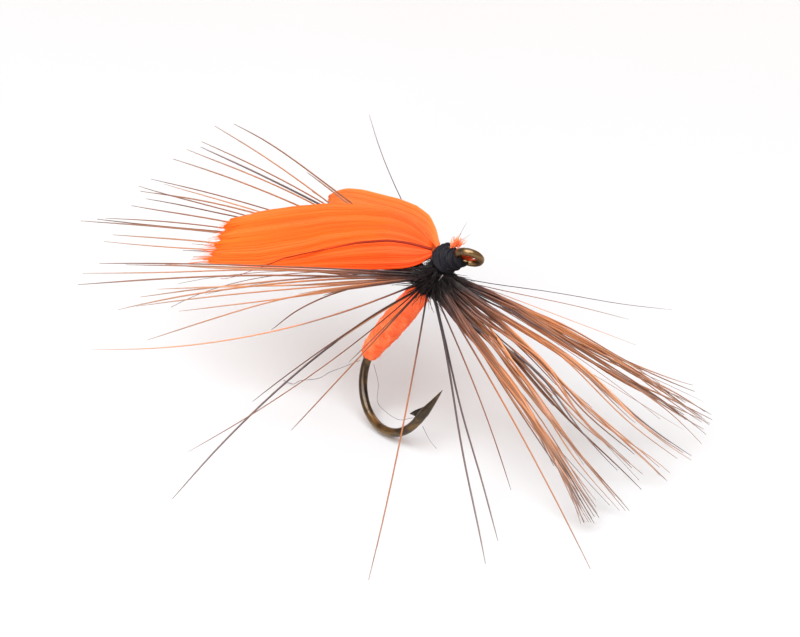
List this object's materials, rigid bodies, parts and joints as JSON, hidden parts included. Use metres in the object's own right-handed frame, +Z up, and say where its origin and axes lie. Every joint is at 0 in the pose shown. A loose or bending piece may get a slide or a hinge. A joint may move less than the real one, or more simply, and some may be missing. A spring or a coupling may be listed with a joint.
{
  "type": "dry fly",
  "caption": "Dry fly: orange feather wings, long brown hackle and orange body on a down-eye barbed hook, resting on its bend and hackle tips.",
  "frame": {"origin": "centre of the hole in the hook eye", "axes": "+Z up in the resting pose on a flat surface, +X along the fly's longest run with the eye end forward and 55 degrees nose-up, +Y away to the fly's left"},
  "size_m": [0.0355, 0.032, 0.0113],
  "materials": {
    "hook_wire": "bronzed, dark brown with golden highlights",
    "tying_thread": "waxed black thread",
    "orange_dubbing": "fuzzy wool-like dubbing",
    "hackle_stem": "dark feather quill",
    "hackle_barb": "glossy barbs, black at the root to ginger at the tip",
    "orange_feather": "dyed soft feather, satin",
    "clear_cement": "clear gloss lacquer"
  },
  "bodies": {
    "fly": {"hook": "hook_wire", "hook_eye": "hook_wire", "thread_underbody": "tying_thread", "body_dubbing": "orange_dubbing", "body_tail_turns": "orange_dubbing", "hackle_quill": "hackle_stem", "hackle_quill_butt": "hackle_stem", "hackle_barbs_right_front": "hackle_barb", "hackle_barbs_right_rear": "hackle_barb", "hackle_barbs_belly": "hackle_barb", "hackle_barbs_web": "hackle_barb", "hackle_barbs_back": "hackle_barb", "hackle_barbs_left": "hackle_barb", "hackle_tie_band": "tying_thread", "wing_tie_wraps": "tying_thread", "wing_butts": "orange_feather", "head_thread": "tying_thread", "whip_finish": "tying_thread", "head_cement": "clear_cement", "thread_tag": "tying_thread"},
    "wing_right": {"wing_right": "orange_feather"},
    "wing_left": {"wing_left": "orange_feather"}
  },
  "joints": [
    {"name": "wing_right_flex", "type": "hinge", "parent": "fly", "child": "wing_right", "pos_m": [-0.00234, 0.00095, -0.00048], "axis": [-0.1258, 0.4716, 0.8728], "range_deg": [0, 25], "stiffness_Nm_per_rad": 0.00001},
    {"name": "wing_left_flex", "type": "hinge", "parent": "fly", "child": "wing_left", "pos_m": [-0.00214, 0.00129, -0.00062], "axis": [0.0996, 0.3531, 0.9303], "range_deg": [-12, 0], "stiffness_Nm_per_rad": 0.00001}
  ]
}
